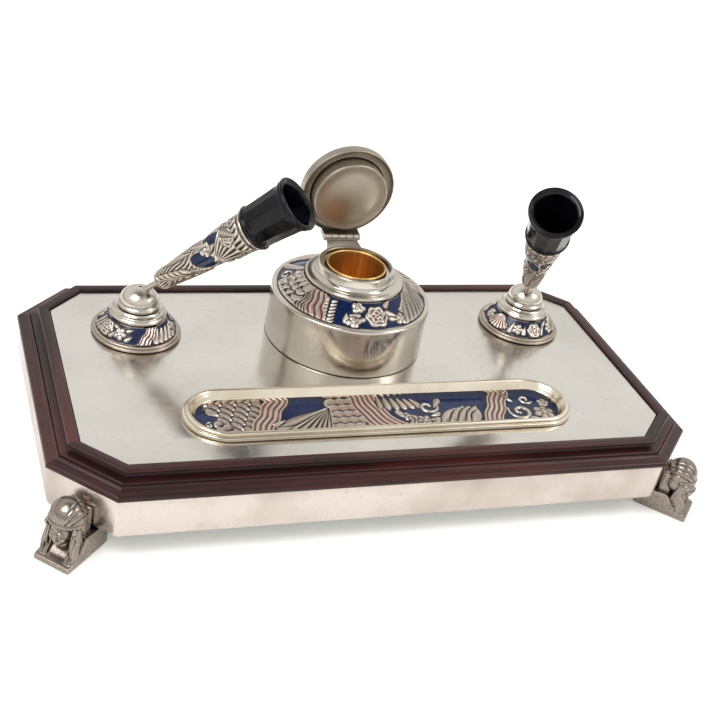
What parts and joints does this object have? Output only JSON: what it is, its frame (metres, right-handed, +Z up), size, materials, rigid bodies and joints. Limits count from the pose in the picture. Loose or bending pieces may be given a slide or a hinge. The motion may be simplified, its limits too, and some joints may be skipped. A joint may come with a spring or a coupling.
{
  "type": "desk pen and inkwell stand",
  "caption": "Octagonal silver and wood desk stand on cast feet, with a hinged-lid inkwell, an enamelled pen tray and tilting, swivelling pen holders.",
  "frame": {"origin": "on the surface the feet stand on, under the middle of the base", "axes": "+X to the user's right along the base, +Y away from the user, +Z up"},
  "size_m": [0.3112, 0.168, 0.1353],
  "materials": {
    "silver": "polished silver with a soft satin wear",
    "old_silver": "tarnished cast silver",
    "enamel": "cast silver relief with blue and rose enamel grounds",
    "gilt": "gilded and polished",
    "rosewood": "dark red-brown wood, satin polish",
    "softwood": "plain sawn softwood",
    "ebonite": "polished black hard rubber",
    "brass": "turned brass",
    "steel": "plain steel",
    "felt": "green baize"
  },
  "bodies": {
    "desk_base": {"wood_base": "rosewood", "top_plate": "silver", "apron": "silver", "bottom_board": "softwood", "felt_pad": "felt", "corner_block_front_left": "softwood", "foot_front_left": "old_silver", "foot_screw_front_left": "steel", "corner_block_front_right": "softwood", "foot_front_right": "old_silver", "foot_screw_front_right": "steel", "corner_block_back_left": "softwood", "foot_back_left": "old_silver", "foot_screw_back_left": "steel", "corner_block_back_right": "softwood", "foot_back_right": "old_silver", "foot_screw_back_right": "steel", "inkwell_body": "silver", "inkwell_shoulder": "enamel", "inkwell_neck": "silver", "ink_pot_liner": "gilt", "inkwell_stud": "brass", "inkwell_nut": "brass", "hinge_leaf": "silver", "hinge_pin": "steel", "tray_rim": "silver", "tray_floor": "enamel", "tray_nut_left": "brass", "tray_nut_right": "brass", "left_flange": "enamel", "left_seat_ring": "silver", "left_stud": "brass", "left_holder_nut": "brass", "right_flange": "enamel", "right_seat_ring": "silver", "right_stud": "brass", "right_holder_nut": "brass"},
    "lid": {"lid_shell": "silver", "lid_inner_disc": "old_silver"},
    "left_turret": {"left_dome": "silver"},
    "left_pen_socket": {"left_ball_stem": "silver", "left_sleeve": "enamel", "left_sleeve_ring": "silver", "left_funnel": "ebonite"},
    "right_turret": {"right_dome": "silver"},
    "right_pen_socket": {"right_ball_stem": "silver", "right_sleeve": "enamel", "right_sleeve_ring": "silver", "right_funnel": "ebonite"}
  },
  "joints": [
    {"name": "lid_hinge", "type": "hinge", "parent": "desk_base", "child": "lid", "pos_m": [0, 0.0522, 0.079], "axis": [1, 0, 0], "range_deg": [-12, 83]},
    {"name": "left_swivel", "type": "hinge", "parent": "desk_base", "child": "left_turret", "pos_m": [-0.0993, 0.035, 0.0521], "axis": [0, 0, 1], "range_deg": [-152, 8]},
    {"name": "left_tilt", "type": "hinge", "parent": "left_turret", "child": "left_pen_socket", "pos_m": [-0.0993, 0.035, 0.0585], "axis": [-0.4848, -0.8746, 0], "range_deg": [-8.6, 36.4]},
    {"name": "right_swivel", "type": "hinge", "parent": "desk_base", "child": "right_turret", "pos_m": [0.0993, 0.035, 0.0521], "axis": [0, 0, 1], "range_deg": [-41, 119]},
    {"name": "right_tilt", "type": "hinge", "parent": "right_turret", "child": "right_pen_socket", "pos_m": [0.0993, 0.035, 0.0585], "axis": [-0.8686, 0.4955, 0], "range_deg": [-15.5, 29.5]}
  ]
}
